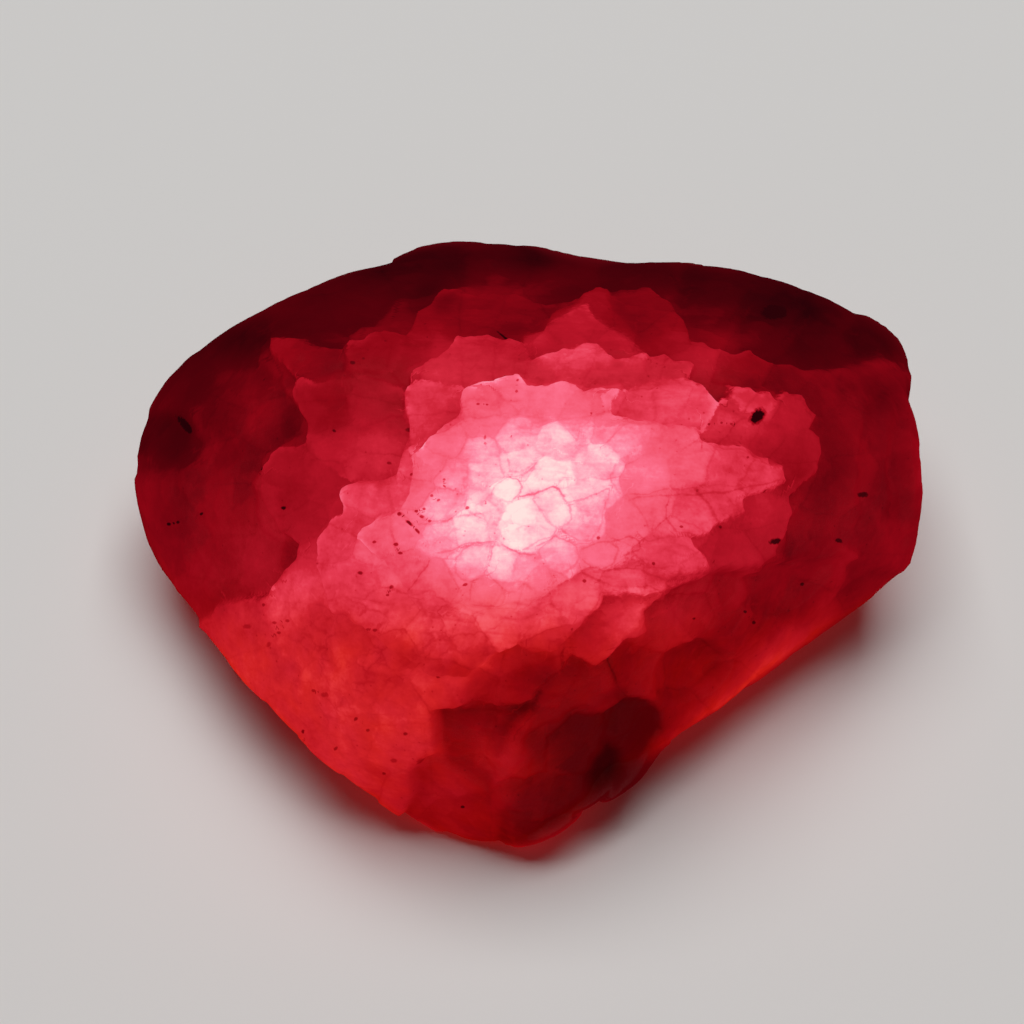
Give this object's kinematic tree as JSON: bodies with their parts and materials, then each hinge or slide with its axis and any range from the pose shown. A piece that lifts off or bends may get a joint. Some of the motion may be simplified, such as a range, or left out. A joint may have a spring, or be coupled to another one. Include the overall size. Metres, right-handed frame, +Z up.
{
  "type": "sapphire",
  "caption": "Rough translucent red corundum crystal, wedge-shaped with overlapping scales, ledges and a hollowed tip, resting on a flat broken face.",
  "frame": {"origin": "on the floor under the middle of the stone's overall length and depth, in the plane of its flat resting face", "axes": "+X along the stone's length towards its blunt right end, +Y away from the hollowed tip, +Z up from the resting face"},
  "size_m": [0.0362, 0.0288, 0.0169],
  "materials": {
    "corundum": "translucent deep red, silky water-worn surface"
  },
  "bodies": {
    "root": {"sapphire": "corundum"}
  },
  "joints": []
}
